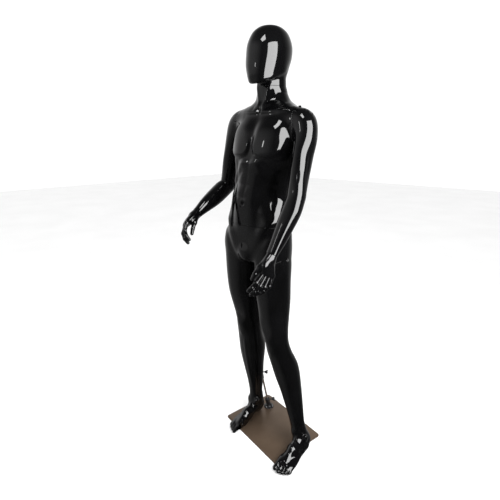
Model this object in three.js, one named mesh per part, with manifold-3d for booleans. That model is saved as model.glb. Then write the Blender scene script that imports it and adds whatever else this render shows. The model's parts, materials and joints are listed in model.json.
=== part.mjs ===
// Full body display mannequin: a hollow male figure in gloss black that stands on a steel plate.
// A rod rises from a flange on the plate into a sleeve in the back of the right calf.
// Millimetres, +Z up. The figure faces -Y and its left side is +X.
// The origin is the middle of the plate's underside, which rests on the floor.

import * as THREE from 'three';
import { mergeVertices } from 'three/addons/utils/BufferGeometryUtils.js';
import Module from 'manifold-3d';

const wasm = await Module();
wasm.setup();

// ---------------------------------------------------------------- driving dimensions

const WALL = 4;            // thickness of the moulded shells
const GAP = 0.35;          // clearance between pieces that touch
const FITTING = 3;         // thickness of the fitting plates set into the shell openings

const PLATE = { width: 395, depth: 292, thick: 6, corner: 12, turn: -10 };
const FLANGE = { x: -105, y: 102, disc: 26, edge: 3, neck: 11, neckFrom: 14, collar: 13 };
const COLLAR = { from: 36, high: 16 };
const ROD = { radius: 5, foot: 10, length: 318, lean: 11.5, bearing: 211 };
const SLEEVE = { from: 190, radius: 9, cap: 4, below: 40 };
const SCREW = { radius: 3, length: 11, circle: 20, foot: 1.5, turn: 0.5 };
const WING = { hub: 6, hubHigh: 8, hubSunk: 2, span: 30, thick: 4.5, high: 12, lift: 3 };
const CLAMP_SHANK = 24;    // shank length of the hand screw in the flange's collar
const CALF_SHANK = 17;     // and of the one in the calf sleeve
const CALF_SCREW_AT = 228; // its place up the rod
const CLAMP_START = 6.2;   // a clamping screw's tip stands this far from the middle of the rod
const LONG_BORE = 60;      // screw holes are cut this long, out past the surface

// The seams where the figure comes apart. Each has a point on the cut, the direction across it
// and the radius and length of the locating peg.
const SEAM = {
  neck: { at: [-47, 20, 1627], along: [0, 0, 1], peg: [14, 22] },
  waist: { at: [-92, 6, 1058], along: [0, 0.05, 1], peg: [16, 32] },
  rightShoulder: { at: [-198, 8, 1490], along: [-1, 0, 0.06], peg: [10, 24] },
  leftShoulder: { at: [104, 6, 1490], along: [1, 0, 0.06], peg: [10, 24] },
  thigh: { at: [-10, -4, 895], along: [-0.3, -0.07, 1], peg: [14, 28] },
  rightWrist: { at: [-335, -160, 1093], along: [0, 0.86, 0.52], peg: [6, 16] },
  leftWrist: { at: [161, -221, 1007], along: [0.08, 0.5, 0.86], peg: [6, 16] },
};

const LEG_DIVIDE = -96;    // the pelvis keeps to this side of the left thigh, below the seam

const GLOSS_BLACK = { color: 0x08080a, roughness: 0.08, metalness: 0 };
const BRONZE = { color: 0x65523f, roughness: 0.45, metalness: 0.6 };
const STEEL = { color: 0xa8a8a8, roughness: 0.3, metalness: 1 };
const CHROME = { color: 0xd8d8d8, roughness: 0.12, metalness: 1 };
const BLACK_PLASTIC = { color: 0x151515, roughness: 0.4, metalness: 0 };

// ---------------------------------------------------------------- solids and booleans

function solidOf(geometry) {
  const plain = geometry.clone();
  plain.deleteAttribute('normal');
  plain.deleteAttribute('uv');
  const merged = mergeVertices(plain, 1e-4);
  const vertProperties = new Float32Array(merged.attributes.position.array);
  const triVerts = new Uint32Array(merged.index.array);
  return new wasm.Manifold(new wasm.Mesh({ numProp: 3, vertProperties, triVerts }));
}

function geometryOf(solid) {
  const { vertProperties, triVerts } = solid.getMesh();
  const geometry = new THREE.BufferGeometry();
  geometry.setAttribute('position', new THREE.BufferAttribute(vertProperties, 3));
  geometry.setIndex(new THREE.BufferAttribute(triVerts, 1));
  return geometry;
}

function join(solids) {
  return solids.reduce((whole, solid) => whole.add(solid));
}

// The point `distance` from `at` in the direction `along`.
function step(at, along, distance) {
  const way = new THREE.Vector3(...along).normalize();
  return new THREE.Vector3(...at).addScaledVector(way, distance).toArray();
}

// Turns a geometry's +Z axis to `along` and moves its origin to `at`.
function aim(geometry, at, along) {
  const turn = new THREE.Quaternion();
  turn.setFromUnitVectors(new THREE.Vector3(0, 0, 1), new THREE.Vector3(...along).normalize());
  return geometry.applyQuaternion(turn).translate(...at);
}

// A cylinder that starts at `at` and runs `length` in the direction `along`.
function rod(radius, length, at, along, sides = 16) {
  const geometry = new THREE.CylinderGeometry(radius, radius, length, sides);
  geometry.rotateX(Math.PI / 2).translate(0, 0, length / 2);
  return solidOf(aim(geometry, at, along));
}

// A turned body: radius and height pairs from the axis out and back to the axis.
function turned(profile, at, along, sides = 20) {
  const points = profile.map(([radius, height]) => new THREE.Vector2(radius, height));
  const geometry = new THREE.LatheGeometry(points, sides).rotateX(Math.PI / 2);
  return solidOf(aim(geometry, at, along));
}

// A square block between two distances from a seam, measured in the seam's direction.
function slab(seam, from, to, size) {
  const geometry = new THREE.BoxGeometry(size, size, to - from).translate(0, 0, (from + to) / 2);
  return solidOf(aim(geometry, seam.at, seam.along));
}

// ---------------------------------------------------------------- lofted body shapes

// Each station is [x, y, z, half width, front depth, back depth]. Stations are joined by a
// smooth curve and each ring is a rounded oval. Rings lie level unless the loft has a `front`
// hint, when they stand square to the line through the stations. `shrink` makes the same shape
// smaller all round, for the hollow inside a shell, which needs fewer rings and corners.
function loft(shape, shrink = 0) {
  const { stations, square = 2.3, front = null } = shape;
  const rings = shrink > 0 ? Math.ceil(shape.rings * 0.8) : shape.rings;
  const sides = shrink > 0 ? 12 : shape.sides ?? 20;
  const spine = new THREE.CatmullRomCurve3(stations.map((s) => new THREE.Vector3(...s.slice(0, 3))));
  const sizes = new THREE.CatmullRomCurve3(stations.map((s) => new THREE.Vector3(...s.slice(3))));
  const ahead = new THREE.Vector3(...(front ?? [0, -1, 0]));
  const positions = [];
  for (let ring = 0; ring <= rings; ring += 1) {
    const t = ring / rings;
    const forward = spine.getTangent(t);
    const inset = shrink * ((ring === 0 ? 1 : 0) - (ring === rings ? 1 : 0));
    const centre = spine.getPoint(t).addScaledVector(forward, inset);
    const size = sizes.getPoint(t);
    const axis = front ? forward : new THREE.Vector3(0, 0, -1);
    const side = new THREE.Vector3().crossVectors(axis, ahead).normalize();
    const face = new THREE.Vector3().crossVectors(side, axis).normalize();
    for (let corner = 0; corner < sides; corner += 1) {
      const angle = (2 * Math.PI * corner) / sides;
      const across = Math.sign(Math.cos(angle)) * Math.abs(Math.cos(angle)) ** (2 / square);
      const deep = Math.sign(Math.sin(angle)) * Math.abs(Math.sin(angle)) ** (2 / square);
      const width = Math.max(size.x - shrink, 1);
      const depth = Math.max((deep > 0 ? size.y : size.z) - shrink, 1);
      const point = centre.clone().addScaledVector(side, across * width);
      point.addScaledVector(face, deep * depth);
      positions.push(...point.toArray());
    }
  }
  return closedTube(positions, rings, sides);
}

function closedTube(positions, rings, sides) {
  const index = [];
  for (let ring = 0; ring < rings; ring += 1) {
    for (let corner = 0; corner < sides; corner += 1) {
      const a = ring * sides + corner;
      const b = ring * sides + ((corner + 1) % sides);
      index.push(a, b, a + sides, b, b + sides, a + sides);
    }
  }
  const last = rings * sides;
  for (let corner = 1; corner < sides - 1; corner += 1) {
    index.push(0, corner + 1, corner);
    index.push(last, last + corner, last + corner + 1);
  }
  const geometry = new THREE.BufferGeometry();
  geometry.setAttribute('position', new THREE.Float32BufferAttribute(positions, 3));
  geometry.setIndex(index);
  const solid = solidOf(geometry);
  if (solid.volume() > 0) return solid;
  geometry.setIndex(index.reverse());
  return solidOf(geometry);
}

function outer(lofts) {
  return join(lofts.map((shape) => loft(shape)));
}

function hollow(lofts, extra = 0) {
  return join(lofts.map((shape) => loft(shape, WALL + extra)));
}

function shell(lofts) {
  return outer(lofts).subtract(hollow(lofts));
}

// ---------------------------------------------------------------- figure stations

const HEAD = {
  rings: 11,
  sides: 20,
  stations: [
    [-47, 0, 1845, 16, 18, 20],
    [-48, -1, 1838, 44, 49, 56],
    [-49, -2, 1815, 66, 78, 87],
    [-50, -3, 1777, 76, 93, 105],
    [-51, -3, 1735, 78, 97, 101],
    [-51, -3, 1698, 73, 100, 84],
    [-50, -3, 1665, 64, 97, 70],
    [-49, -2, 1642, 57, 91, 66],
    [-49, 0, 1632, 46, 78, 58],
  ],
};

const NECK = {
  rings: 4,
  stations: [
    [-50, 20, 1700, 54, 53, 54],
    [-49, 19, 1640, 57, 58, 58],
    [-48, 19, 1590, 59, 58, 61],
    [-47, 20, 1530, 66, 60, 66],
  ],
};

const TRUNK = {
  rings: 16,
  sides: 22,
  stations: [
    [-47, 20, 1602, 52, 46, 54],
    [-47, 18, 1576, 80, 56, 68],
    [-47, 14, 1549, 120, 66, 80],
    [-47, 12, 1512, 146, 82, 92],
    [-48, 10, 1450, 158, 112, 102],
    [-51, 8, 1370, 158, 127, 106],
    [-58, 8, 1310, 150, 118, 104],
    [-70, 8, 1250, 143, 109, 97],
    [-86, 8, 1190, 143, 110, 93],
    [-94, 8, 1130, 146, 108, 94],
    [-99, 6, 1060, 158, 106, 105],
    [-104, 4, 1000, 169, 104, 115],
    [-107, 2, 940, 172, 102, 116],
    [-106, 0, 900, 156, 94, 106],
    [-102, 0, 874, 108, 72, 84],
  ],
};

const RIGHT_LEG = {
  rings: 16,
  sides: 16,
  stations: [
    [-192, 2, 960, 84, 88, 100],
    [-189, 0, 880, 85, 90, 98],
    [-185, 0, 800, 82, 87, 88],
    [-180, 2, 720, 76, 81, 79],
    [-173, 4, 640, 68, 73, 67],
    [-168, 4, 580, 61, 66, 59],
    [-166, 3, 535, 60, 63, 55],
    [-165, 8, 480, 60, 58, 62],
    [-164, 16, 420, 62, 55, 71],
    [-160, 22, 360, 61, 52, 69],
    [-152, 27, 280, 51, 47, 55],
    [-142, 30, 200, 41, 40, 43],
    [-136, 31, 140, 34, 37, 38],
    [-133, 30, 90, 34, 42, 40],
    [-131, 28, 34, 33, 44, 42],
  ],
};

const LEFT_LEG = {
  rings: 16,
  sides: 16,
  stations: [
    [-20, -1, 960, 78, 88, 98],
    [-13, -7, 880, 79, 90, 96],
    [1, -17, 800, 78, 87, 88],
    [19, -28, 720, 74, 80, 78],
    [36, -39, 640, 65, 70, 65],
    [49, -45, 580, 55, 62, 55],
    [59, -48, 535, 53, 58, 52],
    [74, -42, 480, 55, 54, 59],
    [94, -33, 420, 58, 51, 67],
    [111, -26, 360, 58, 48, 66],
    [132, -19, 280, 48, 43, 52],
    [153, -16, 200, 40, 38, 42],
    [169, -15, 140, 34, 37, 38],
    [181, -15, 90, 35, 42, 40],
    [191, -14, 34, 34, 44, 42],
  ],
};

// A foot runs from the heel to the toes. Each row is a distance ahead of the ankle, the height
// of the ring's middle, its half width and its reach above and below that middle.
function foot(x, y, out) {
  const shape = [
    [70, 30, 12, 13, 13],
    [61, 34, 25, 25, 25],
    [30, 41, 31, 46, 35],
    [-20, 39, 32, 50, 33],
    [-70, 30, 36, 44, 24],
    [-120, 22, 40, 32, 16],
    [-150, 18, 41, 21, 12],
    [-171, 17, 35, 13, 10],
    [-181, 17, 24, 8, 7],
  ];
  const stations = shape.map(([back, high, wide, up, down]) => {
    return [x - back * out, y + back, high, wide, up, down];
  });
  return { rings: 9, sides: 14, square: 2.4, front: [0, 0, 1], stations };
}

const RIGHT_FOOT = foot(-130, 4, 0.1);
const LEFT_FOOT = foot(196, -33, 0.1);

const RIGHT_ARM = {
  rings: 15,
  sides: 14,
  square: 2.1,
  front: [0, -1, 0.2],
  stations: [
    [-140, 10, 1502, 36, 44, 46],
    [-188, 8, 1505, 46, 50, 50],
    [-225, 8, 1486, 49, 52, 52],
    [-247, 8, 1434, 46, 52, 52],
    [-266, 14, 1368, 43, 50, 50],
    [-291, 26, 1302, 41, 46, 46],
    [-320, 38, 1243, 37, 41, 41],
    [-334, 32, 1208, 37, 41, 39],
    [-337, -2, 1190, 38, 41, 39],
    [-337, -62, 1157, 37, 40, 39],
    [-336, -110, 1127, 31, 33, 32],
    [-335, -150, 1101, 25, 23, 22],
    [-335, -176, 1086, 25, 21, 20],
  ],
};

const LEFT_ARM = {
  rings: 15,
  sides: 14,
  square: 2.1,
  front: [0, -1, 0.2],
  stations: [
    [46, 8, 1502, 36, 44, 46],
    [94, 6, 1505, 46, 50, 50],
    [127, 3, 1486, 48, 52, 52],
    [143, -6, 1430, 44, 50, 50],
    [151, -30, 1366, 40, 46, 46],
    [160, -59, 1300, 38, 42, 42],
    [173, -88, 1245, 37, 39, 39],
    [178, -104, 1205, 36, 38, 38],
    [176, -126, 1160, 38, 38, 38],
    [171, -156, 1110, 35, 35, 35],
    [166, -187, 1058, 29, 28, 28],
    [162, -214, 1018, 24, 20, 20],
    [159, -231, 992, 24, 19, 19],
  ],
};

// A finger is a tapering tube through its knuckles, with a narrow tip.
function finger(points, thick) {
  const taper = [1, 0.95, 0.86, 0.6];
  const stations = points.map((point, knuckle) => {
    const size = thick * taper[knuckle];
    return [...point, size, size, size];
  });
  return { rings: 5, sides: 8, square: 2, front: [0.3, -1, 0.4], stations };
}

const RIGHT_HAND = [
  {
    rings: 6,
    sides: 12,
    front: [-0.645, -0.396, 0.654],
    stations: [
      [-335, -151, 1099, 22, 19, 19],
      [-335, -172, 1086, 26, 18, 18],
      [-335, -196, 1071, 32, 16, 16],
      [-334, -219, 1058, 36, 14, 14],
      [-334, -236, 1048, 34, 11, 11],
    ],
  },
  finger([[-315, -241, 1064], [-302, -263, 1032], [-288, -264, 1012], [-275, -259, 997]], 9.0),
  finger([[-328, -238, 1052], [-314, -263, 1018], [-298, -264, 995], [-284, -258, 979]], 9.2),
  finger([[-341, -231, 1044], [-328, -254, 1012], [-313, -255, 990], [-300, -250, 976]], 8.8),
  finger([[-353, -220, 1038], [-342, -239, 1012], [-331, -240, 996], [-320, -235, 983]], 7.8),
  finger([[-322, -178, 1089], [-302, -208, 1072], [-292, -221, 1046], [-287, -224, 1025]], 10.5),
];

const LEFT_HAND = [
  {
    rings: 6,
    sides: 12,
    front: [1, -0.3, 0.2],
    stations: [
      [162, -214, 1017, 20, 16, 16],
      [162, -230, 992, 25, 17, 17],
      [164, -243, 968, 33, 16, 16],
      [167, -253, 945, 36, 14, 14],
      [167, -262, 928, 33, 11, 11],
    ],
  },
  finger([[161, -264, 951], [153, -299, 914], [146, -316, 898], [140, -327, 888]], 9.3),
  finger([[167, -255, 944], [162, -290, 901], [153, -308, 882], [144, -319, 871]], 9.5),
  finger([[172, -243, 937], [169, -271, 894], [158, -289, 875], [147, -300, 865]], 9),
  finger([[176, -232, 930], [174, -250, 892], [163, -267, 874], [152, -278, 864]], 8),
  finger([[158, -240, 990], [147, -274, 966], [140, -292, 944], [135, -300, 926]], 10.5),
];

// ---------------------------------------------------------------- scene graph

const mannequin = new THREE.Group();
const base = new THREE.Group();
const figure = new THREE.Group();
const fittings = new THREE.Group();
mannequin.add(base, figure, fittings);

function place(group, name, finish, solid) {
  const mesh = new THREE.Mesh(geometryOf(solid), new THREE.MeshStandardMaterial(finish));
  mesh.name = name;
  group.add(mesh);
}

// ---------------------------------------------------------------- base and rod

const UP = [0, 0, 1];
const lean = THREE.MathUtils.degToRad(ROD.lean);
const bearing = THREE.MathUtils.degToRad(ROD.bearing);
const rodAlong = [
  Math.sin(lean) * Math.sin(bearing),
  Math.sin(lean) * Math.cos(bearing),
  Math.cos(lean),
];
const flangeAt = [FLANGE.x, FLANGE.y, PLATE.thick + GAP];
const rodAt = step(flangeAt, rodAlong, ROD.foot);

function plateBlank() {
  const { width, depth, corner, thick } = PLATE;
  const right = width / 2 - corner;
  const back = depth / 2 - corner;
  const outline = new THREE.Shape();
  outline.absarc(right, -back, corner, -Math.PI / 2, 0);
  outline.absarc(right, back, corner, 0, Math.PI / 2);
  outline.absarc(-right, back, corner, Math.PI / 2, Math.PI);
  outline.absarc(-right, -back, corner, Math.PI, 1.5 * Math.PI);
  const options = { depth: thick, bevelEnabled: false, curveSegments: 4 };
  const geometry = new THREE.ExtrudeGeometry(outline, options);
  return solidOf(geometry.rotateZ(THREE.MathUtils.degToRad(PLATE.turn)));
}

// A round screw standing in the plate and the flange.
function flangeScrew(at, spare) {
  const radius = SCREW.radius + spare;
  return turned([
    [0, 0],
    [radius, 0],
    [radius, SCREW.length],
    [0, SCREW.length],
  ], at, UP, 12);
}

function screwPlaces() {
  return [0, 1, 2].map((turn) => {
    const angle = (2 * Math.PI * turn) / 3 + SCREW.turn;
    const x = FLANGE.x + SCREW.circle * Math.cos(angle);
    const y = FLANGE.y + SCREW.circle * Math.sin(angle);
    return [x, y, SCREW.foot];
  });
}

function flangeBlank() {
  const { disc, edge, neck, neckFrom, collar } = FLANGE;
  const foot = turned([
    [0, 0],
    [disc, 0],
    [disc, edge],
    [disc - 3, edge + 1.5],
    [neck + 7, edge + 3],
    [neck + 2.5, neckFrom - 4],
    [neck, neckFrom],
    [0, neckFrom],
  ], flangeAt, UP);
  const stem = rod(neck, COLLAR.from - 6, step(flangeAt, rodAlong, 8), rodAlong, 20);
  const collarAt = step(flangeAt, rodAlong, COLLAR.from);
  return join([foot, stem, rod(collar, COLLAR.high, collarAt, rodAlong, 20)]);
}

// A hand screw: a shank of the given length, a hub and a flat wing. It clamps what lies at `at`.
function wingScrew(at, along, length) {
  const shank = rod(SCREW.radius, length, step(at, along, CLAMP_START), along, 10);
  const hubAt = step(at, along, CLAMP_START + length - WING.hubSunk);
  const hub = rod(WING.hub, WING.hubHigh, hubAt, along, 12);
  const wing = new THREE.BoxGeometry(WING.span, WING.thick, WING.high);
  wing.translate(0, 0, WING.high / 2 + WING.lift);
  return join([shank, hub, solidOf(aim(wing, hubAt, along))]);
}

const screwHoles = join(screwPlaces().map((at) => flangeScrew(at, GAP)));
const clampAt = step(flangeAt, rodAlong, COLLAR.from + COLLAR.high / 2);
const clampAlong = [0.62, 0.78, 0];
const rodBore = rod(ROD.radius + GAP, ROD.length, rodAt, rodAlong);
const clampBore = rod(SCREW.radius + GAP, LONG_BORE, clampAt, clampAlong, 10);

place(base, 'base_plate', BRONZE, plateBlank().subtract(screwHoles));
place(base, 'base_flange', BLACK_PLASTIC,
  flangeBlank().subtract(join([rodBore, clampBore, screwHoles])));
screwPlaces().forEach((at, turn) => {
  place(base, `flange_screw_${turn + 1}`, STEEL, flangeScrew(at, 0));
});
place(base, 'flange_thumb_screw', BLACK_PLASTIC, wingScrew(clampAt, clampAlong, CLAMP_SHANK));
place(base, 'support_rod', CHROME, rod(ROD.radius, ROD.length, step(rodAt, rodAlong, GAP), rodAlong));

// ---------------------------------------------------------------- seams of the figure

const HALF = 0.2;          // each side of a seam keeps this much back from the cut
const FAR = 1600;          // larger than the figure

function beyond(seam, size = FAR, reach = FAR) {
  return slab(seam, HALF, reach, size);
}

function before(seam, size = FAR, reach = FAR) {
  return slab(seam, -reach, -HALF, size);
}

// The two plates that close a seam. The socket plate is on the side that `way` points to and
// the other plate carries the peg that enters it.
function plates(name, seam, room, way) {
  const [radius, length] = seam.peg;
  const near = slab(seam, way > 0 ? GAP : -FITTING, way > 0 ? FITTING : -GAP, 500);
  const far = slab(seam, way > 0 ? -FITTING : GAP, way > 0 ? -GAP : FITTING, 500);
  const along = seam.along.map((part) => part * way);
  const start = step(seam.at, along, -FITTING / 2);
  const peg = rod(radius, length, start, along);
  const bore = rod(radius + GAP, length + 1, start, along);
  place(fittings, `${name}_socket_plate`, STEEL, room.intersect(near).subtract(bore));
  place(fittings, `${name}_peg_plate`, STEEL, room.intersect(far).add(peg));
}

plates('neck', SEAM.neck, hollow([NECK], GAP), 1);
plates('waist', SEAM.waist, hollow([TRUNK], GAP), -1);
plates('right_shoulder', SEAM.rightShoulder, hollow([RIGHT_ARM], GAP), -1);
plates('left_shoulder', SEAM.leftShoulder, hollow([LEFT_ARM], GAP), -1);
plates('left_thigh', SEAM.thigh, hollow([LEFT_LEG], GAP), 1);

// ---------------------------------------------------------------- shells

place(figure, 'head_shell', GLOSS_BLACK, shell([HEAD, NECK]).intersect(beyond(SEAM.neck)));

function shoulderStub(arm, seam) {
  return before(seam, 260, 130).intersect(arm);
}

const SHOULDERS = [[RIGHT_ARM, SEAM.rightShoulder], [LEFT_ARM, SEAM.leftShoulder]];
const stubs = SHOULDERS.map(([arm, seam]) => shoulderStub(outer([arm]), seam));
const stubRooms = SHOULDERS.map(([arm, seam]) => {
  return slab(seam, -130, 1, 260).intersect(hollow([arm]));
});
const armSides = join(SHOULDERS.map(([, seam]) => slab(seam, -HALF, 200, 260)));
const trunkSkin = outer([TRUNK, NECK]).subtract(armSides);
const chest = join([trunkSkin, ...stubs]).subtract(join([hollow([TRUNK, NECK]), ...stubRooms]));
place(figure, 'torso_shell', GLOSS_BLACK,
  chest.intersect(beyond(SEAM.waist)).intersect(before(SEAM.neck)));

const divide = { at: [LEG_DIVIDE, 0, 500], along: [1, 0, 0] };
const leftLegZone = slab(SEAM.thigh, -FAR, HALF, FAR).intersect(slab(divide, -HALF, 500, FAR));
const sleeveAt = step(flangeAt, rodAlong, SLEEVE.from);
const sleeveLength = ROD.foot + ROD.length + GAP * 2 + SLEEVE.cap - SLEEVE.from;
const calfScrewAt = step(flangeAt, rodAlong, CALF_SCREW_AT);
const calfScrewAlong = [0.8, 0.6, 0.1];
const sleeveTap = rod(SCREW.radius + GAP, LONG_BORE, calfScrewAt, calfScrewAlong, 10);
const belowSleeve = step(sleeveAt, rodAlong, -SLEEVE.below);
const sleeveHole = rod(SLEEVE.radius + GAP, sleeveLength + SLEEVE.below, belowSleeve, rodAlong);
place(figure, 'pelvis_right_leg_shell', GLOSS_BLACK,
  shell([TRUNK, RIGHT_LEG, RIGHT_FOOT, LEFT_LEG])
    .intersect(before(SEAM.waist)).subtract(leftLegZone)
    .subtract(join([sleeveHole, sleeveTap])));
place(figure, 'left_leg_shell', GLOSS_BLACK,
  shell([LEFT_LEG, LEFT_FOOT]).intersect(before(SEAM.thigh)));

function armShell(name, arm, shoulder, wrist) {
  const skin = shell([arm]).intersect(beyond(shoulder)).intersect(beyond(wrist));
  place(figure, name, GLOSS_BLACK, skin);
}

armShell('right_arm_shell', RIGHT_ARM, SEAM.rightShoulder, SEAM.rightWrist);
armShell('left_arm_shell', LEFT_ARM, SEAM.leftShoulder, SEAM.leftWrist);

const WRIST_DISC = 13;     // radius of the disc cast into the top of each hand

// A hand is cast solid around a disc whose peg turns in the socket plate of the wrist.
function hand(side, shapes, arm, seam) {
  const [radius, length] = seam.peg;
  const discAt = step(seam.at, seam.along, -FITTING);
  const disc = rod(WRIST_DISC, FITTING - HALF, discAt, seam.along);
  const peg = rod(radius, length, step(seam.at, seam.along, -FITTING / 2), seam.along);
  const bore = rod(radius + GAP, length + 1, step(seam.at, seam.along, -FITTING / 2), seam.along);
  const recess = rod(WRIST_DISC + GAP, FITTING + GAP, step(discAt, seam.along, -GAP), seam.along);
  const socket = hollow([arm], GAP).intersect(slab(seam, GAP, FITTING, 200)).subtract(bore);
  place(figure, `${side}_hand`, GLOSS_BLACK, outer(shapes).intersect(before(seam)).subtract(recess));
  place(fittings, `${side}_wrist_peg_plate`, STEEL, disc.add(peg));
  place(fittings, `${side}_wrist_socket_plate`, STEEL, socket);
}

hand('right', RIGHT_HAND, RIGHT_ARM, SEAM.rightWrist);
hand('left', LEFT_HAND, LEFT_ARM, SEAM.leftWrist);

// ---------------------------------------------------------------- calf sleeve

const sleeveBore = rod(ROD.radius + GAP, sleeveLength - SLEEVE.cap, sleeveAt, rodAlong);
place(fittings, 'calf_sleeve', STEEL,
  rod(SLEEVE.radius, sleeveLength, sleeveAt, rodAlong).subtract(sleeveBore).subtract(sleeveTap));
place(fittings, 'calf_thumb_screw', BLACK_PLASTIC,
  wingScrew(calfScrewAt, calfScrewAlong, CALF_SHANK));

export default mannequin;
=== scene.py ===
"""Looks of the full body mannequin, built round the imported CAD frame.

The body is sculpted as a distance field in millimetres: lofted limbs and trunk, joined by soft
unions, with muscles and creases as raised or sunk areas. Each piece is meshed from the field,
cut at its seams, given a rolled rim and a fitting plate, and placed in metres.
"""
import json
import math

import bmesh
import bpy
import numpy as np
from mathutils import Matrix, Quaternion, Vector


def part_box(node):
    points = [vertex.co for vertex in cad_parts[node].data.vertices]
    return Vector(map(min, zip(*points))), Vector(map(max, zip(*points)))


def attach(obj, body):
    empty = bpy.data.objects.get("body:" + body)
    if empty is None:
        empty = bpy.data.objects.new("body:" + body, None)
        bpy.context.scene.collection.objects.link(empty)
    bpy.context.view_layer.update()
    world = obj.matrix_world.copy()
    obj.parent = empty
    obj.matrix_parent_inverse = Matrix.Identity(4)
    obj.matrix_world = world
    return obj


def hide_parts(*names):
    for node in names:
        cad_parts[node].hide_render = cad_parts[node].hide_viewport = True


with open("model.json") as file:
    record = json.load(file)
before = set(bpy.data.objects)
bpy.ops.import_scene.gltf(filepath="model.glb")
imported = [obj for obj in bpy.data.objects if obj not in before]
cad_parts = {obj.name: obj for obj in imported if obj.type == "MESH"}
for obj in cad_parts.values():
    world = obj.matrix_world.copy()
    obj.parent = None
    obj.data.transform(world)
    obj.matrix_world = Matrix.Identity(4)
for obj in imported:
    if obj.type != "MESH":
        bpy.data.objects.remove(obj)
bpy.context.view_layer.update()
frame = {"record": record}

MM = 0.001
JOINTS = {joint["name"]: joint for joint in frame["record"]["behaviour"]["joints"]}
COARSE = 1.0          # a trial run uses wider mesh steps
BODY_STEP = 4.2 * COARSE
HEAD_STEP = 3.4 * COARSE
HAND_STEP = 1.5 * COARSE

SEAM_SHORT = 0.9                             # each shell's skin stops this far before the seam
SEAM_HALF = 0.2                              # half of the open gap between two shells
WALL = 4.0
PLATE_SUNK = 1.2                             # fitting plates sit this far behind the shell's rim


# ---- curves and soft joins ----

def smoothstep(low, high, value):
    t = np.clip((value - low) / (high - low), 0.0, 1.0)
    return t * t * (3.0 - 2.0 * t)


def soft_min(a, b, k):
    h = np.clip(0.5 + 0.5 * (b - a) / k, 0.0, 1.0)
    return b + (a - b) * h - k * h * (1.0 - h)


def soft_max(a, b, k):
    return -soft_min(-a, -b, k)


def bell(value, width):
    return np.exp(-(value / width) ** 2)


def bumps(across, along, rows):
    """Soft bumps: height, then place and width across, then place and width along."""
    return sum(height * bell(across - a, wide) * bell(along - b, tall)
               for height, a, wide, b, tall in rows)


def catmull(stations, per_span=14):
    """Rows of numbers, smoothly interpolated through the given stations."""
    rows = np.array(stations, float)
    padded = np.vstack([2 * rows[0] - rows[1], rows, 2 * rows[-1] - rows[-2]])
    spans = len(rows) - 1
    t = np.linspace(0, spans, spans * per_span + 1)
    i = np.minimum(t.astype(int), spans - 1)
    f = (t - i)[:, None]
    a, b, c, d = (padded[i + n] for n in range(4))
    return 0.5 * (2 * b + (c - a) * f + (2 * a - 5 * b + 4 * c - d) * f**2
                  + (3 * b - a - 3 * c + d) * f**3)


def unit(v):
    v = np.asarray(v, float)
    return v / np.linalg.norm(v, axis=-1, keepdims=True)


# ---- lofts ----

class LevelLoft:
    """A body part made of level oval rings: x, y, z, half width, front, back, squareness."""

    def __init__(self, stations):
        table = catmull(stations, 40)
        self.table = table[np.argsort(table[:, 2])]

    def at(self, p):
        rows = [np.interp(p[:, 2], self.table[:, 2], self.table[:, n]) for n in (0, 1, 3, 4, 5, 6)]
        cx, cy, width, front, back, square = rows
        u = p[:, 0] - cx
        v = cy - p[:, 1]
        depth = np.where(v > 0, front, back)
        rho = ((np.abs(u) / width) ** square + (np.abs(v) / depth) ** square) ** (1 / square)
        reach = np.hypot(u, v)
        gap = np.where(rho > 0.05, reach - reach / np.maximum(rho, 0.05), -np.minimum(width, depth))
        low, high = self.table[0, 2], self.table[-1, 2]
        over = np.maximum(np.maximum(p[:, 2] - high, low - p[:, 2]), -60.0)
        return Local(u, v, u / width, v / depth, p[:, 2], gap, over)


class Local:
    """Where points lie in a loft: across, forward, both as fractions, height and distance."""

    def __init__(self, u, v, fu, fv, z, gap, over):
        self.u, self.v, self.fu, self.fv, self.z = u, v, fu, fv, z
        self.gap, self.over = gap, over
        self.front = smoothstep(0.0, 0.55, fv)
        self.back = smoothstep(0.0, 0.55, -fv)
        self.angle = np.arctan2(fu, fv)

    def closed(self, rise, k):
        return soft_max(self.gap - rise, self.over, k)


class SweptLoft:
    """A part swept along a curved spine, with oval rings square to the spine."""

    def __init__(self, stations, hint, square=2.15):
        self.rows = catmull(stations)
        self.spine = self.rows[:, :3]
        tangent = np.gradient(self.spine, axis=0)
        self.tangent = unit(tangent)
        self.side = unit(np.cross(self.tangent, np.array(hint, float)))
        self.face = np.cross(self.side, self.tangent)
        self.pitch = np.maximum(np.linalg.norm(tangent, axis=1), 1e-6)
        self.square = square

    def at(self, p):
        last = len(self.spine) - 1
        square = (self.spine**2).sum(1)
        nearest = np.concatenate([(square - 2 * p[n:n + SPINE_BATCH] @ self.spine.T).argmin(1)
                                  for n in range(0, max(len(p), 1), SPINE_BATCH)])
        along = ((p - self.spine[nearest]) * self.tangent[nearest]).sum(1)
        place = np.clip(nearest + along / self.pitch[nearest], 0, last)
        i = np.minimum(place.astype(int), last - 1)
        f = (place - i)[:, None]
        centre, tangent, side, face, sizes = (
            row[i] * (1 - f) + row[i + 1] * f for row in
            (self.spine, self.tangent, self.side, self.face, self.rows[:, 3:]))
        offset = p - centre
        u, v, along = ((offset * unit(way)).sum(1) for way in (side, face, tangent))
        depth = np.where(v > 0, sizes[:, 1], sizes[:, 2])
        n = self.square
        rho = ((np.abs(u) / sizes[:, 0]) ** n + (np.abs(v) / depth) ** n) ** (1 / n)
        reach = np.hypot(u, v)
        gap = np.where(rho > 0.05, reach - reach / np.maximum(rho, 0.05), -sizes[:, 0])
        past = (place <= 0) | (place >= last)
        gap = np.where(past, np.where(gap > 0, np.hypot(gap, along), np.abs(along)), gap)
        return gap, u / sizes[:, 0], v / depth, place / last


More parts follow.
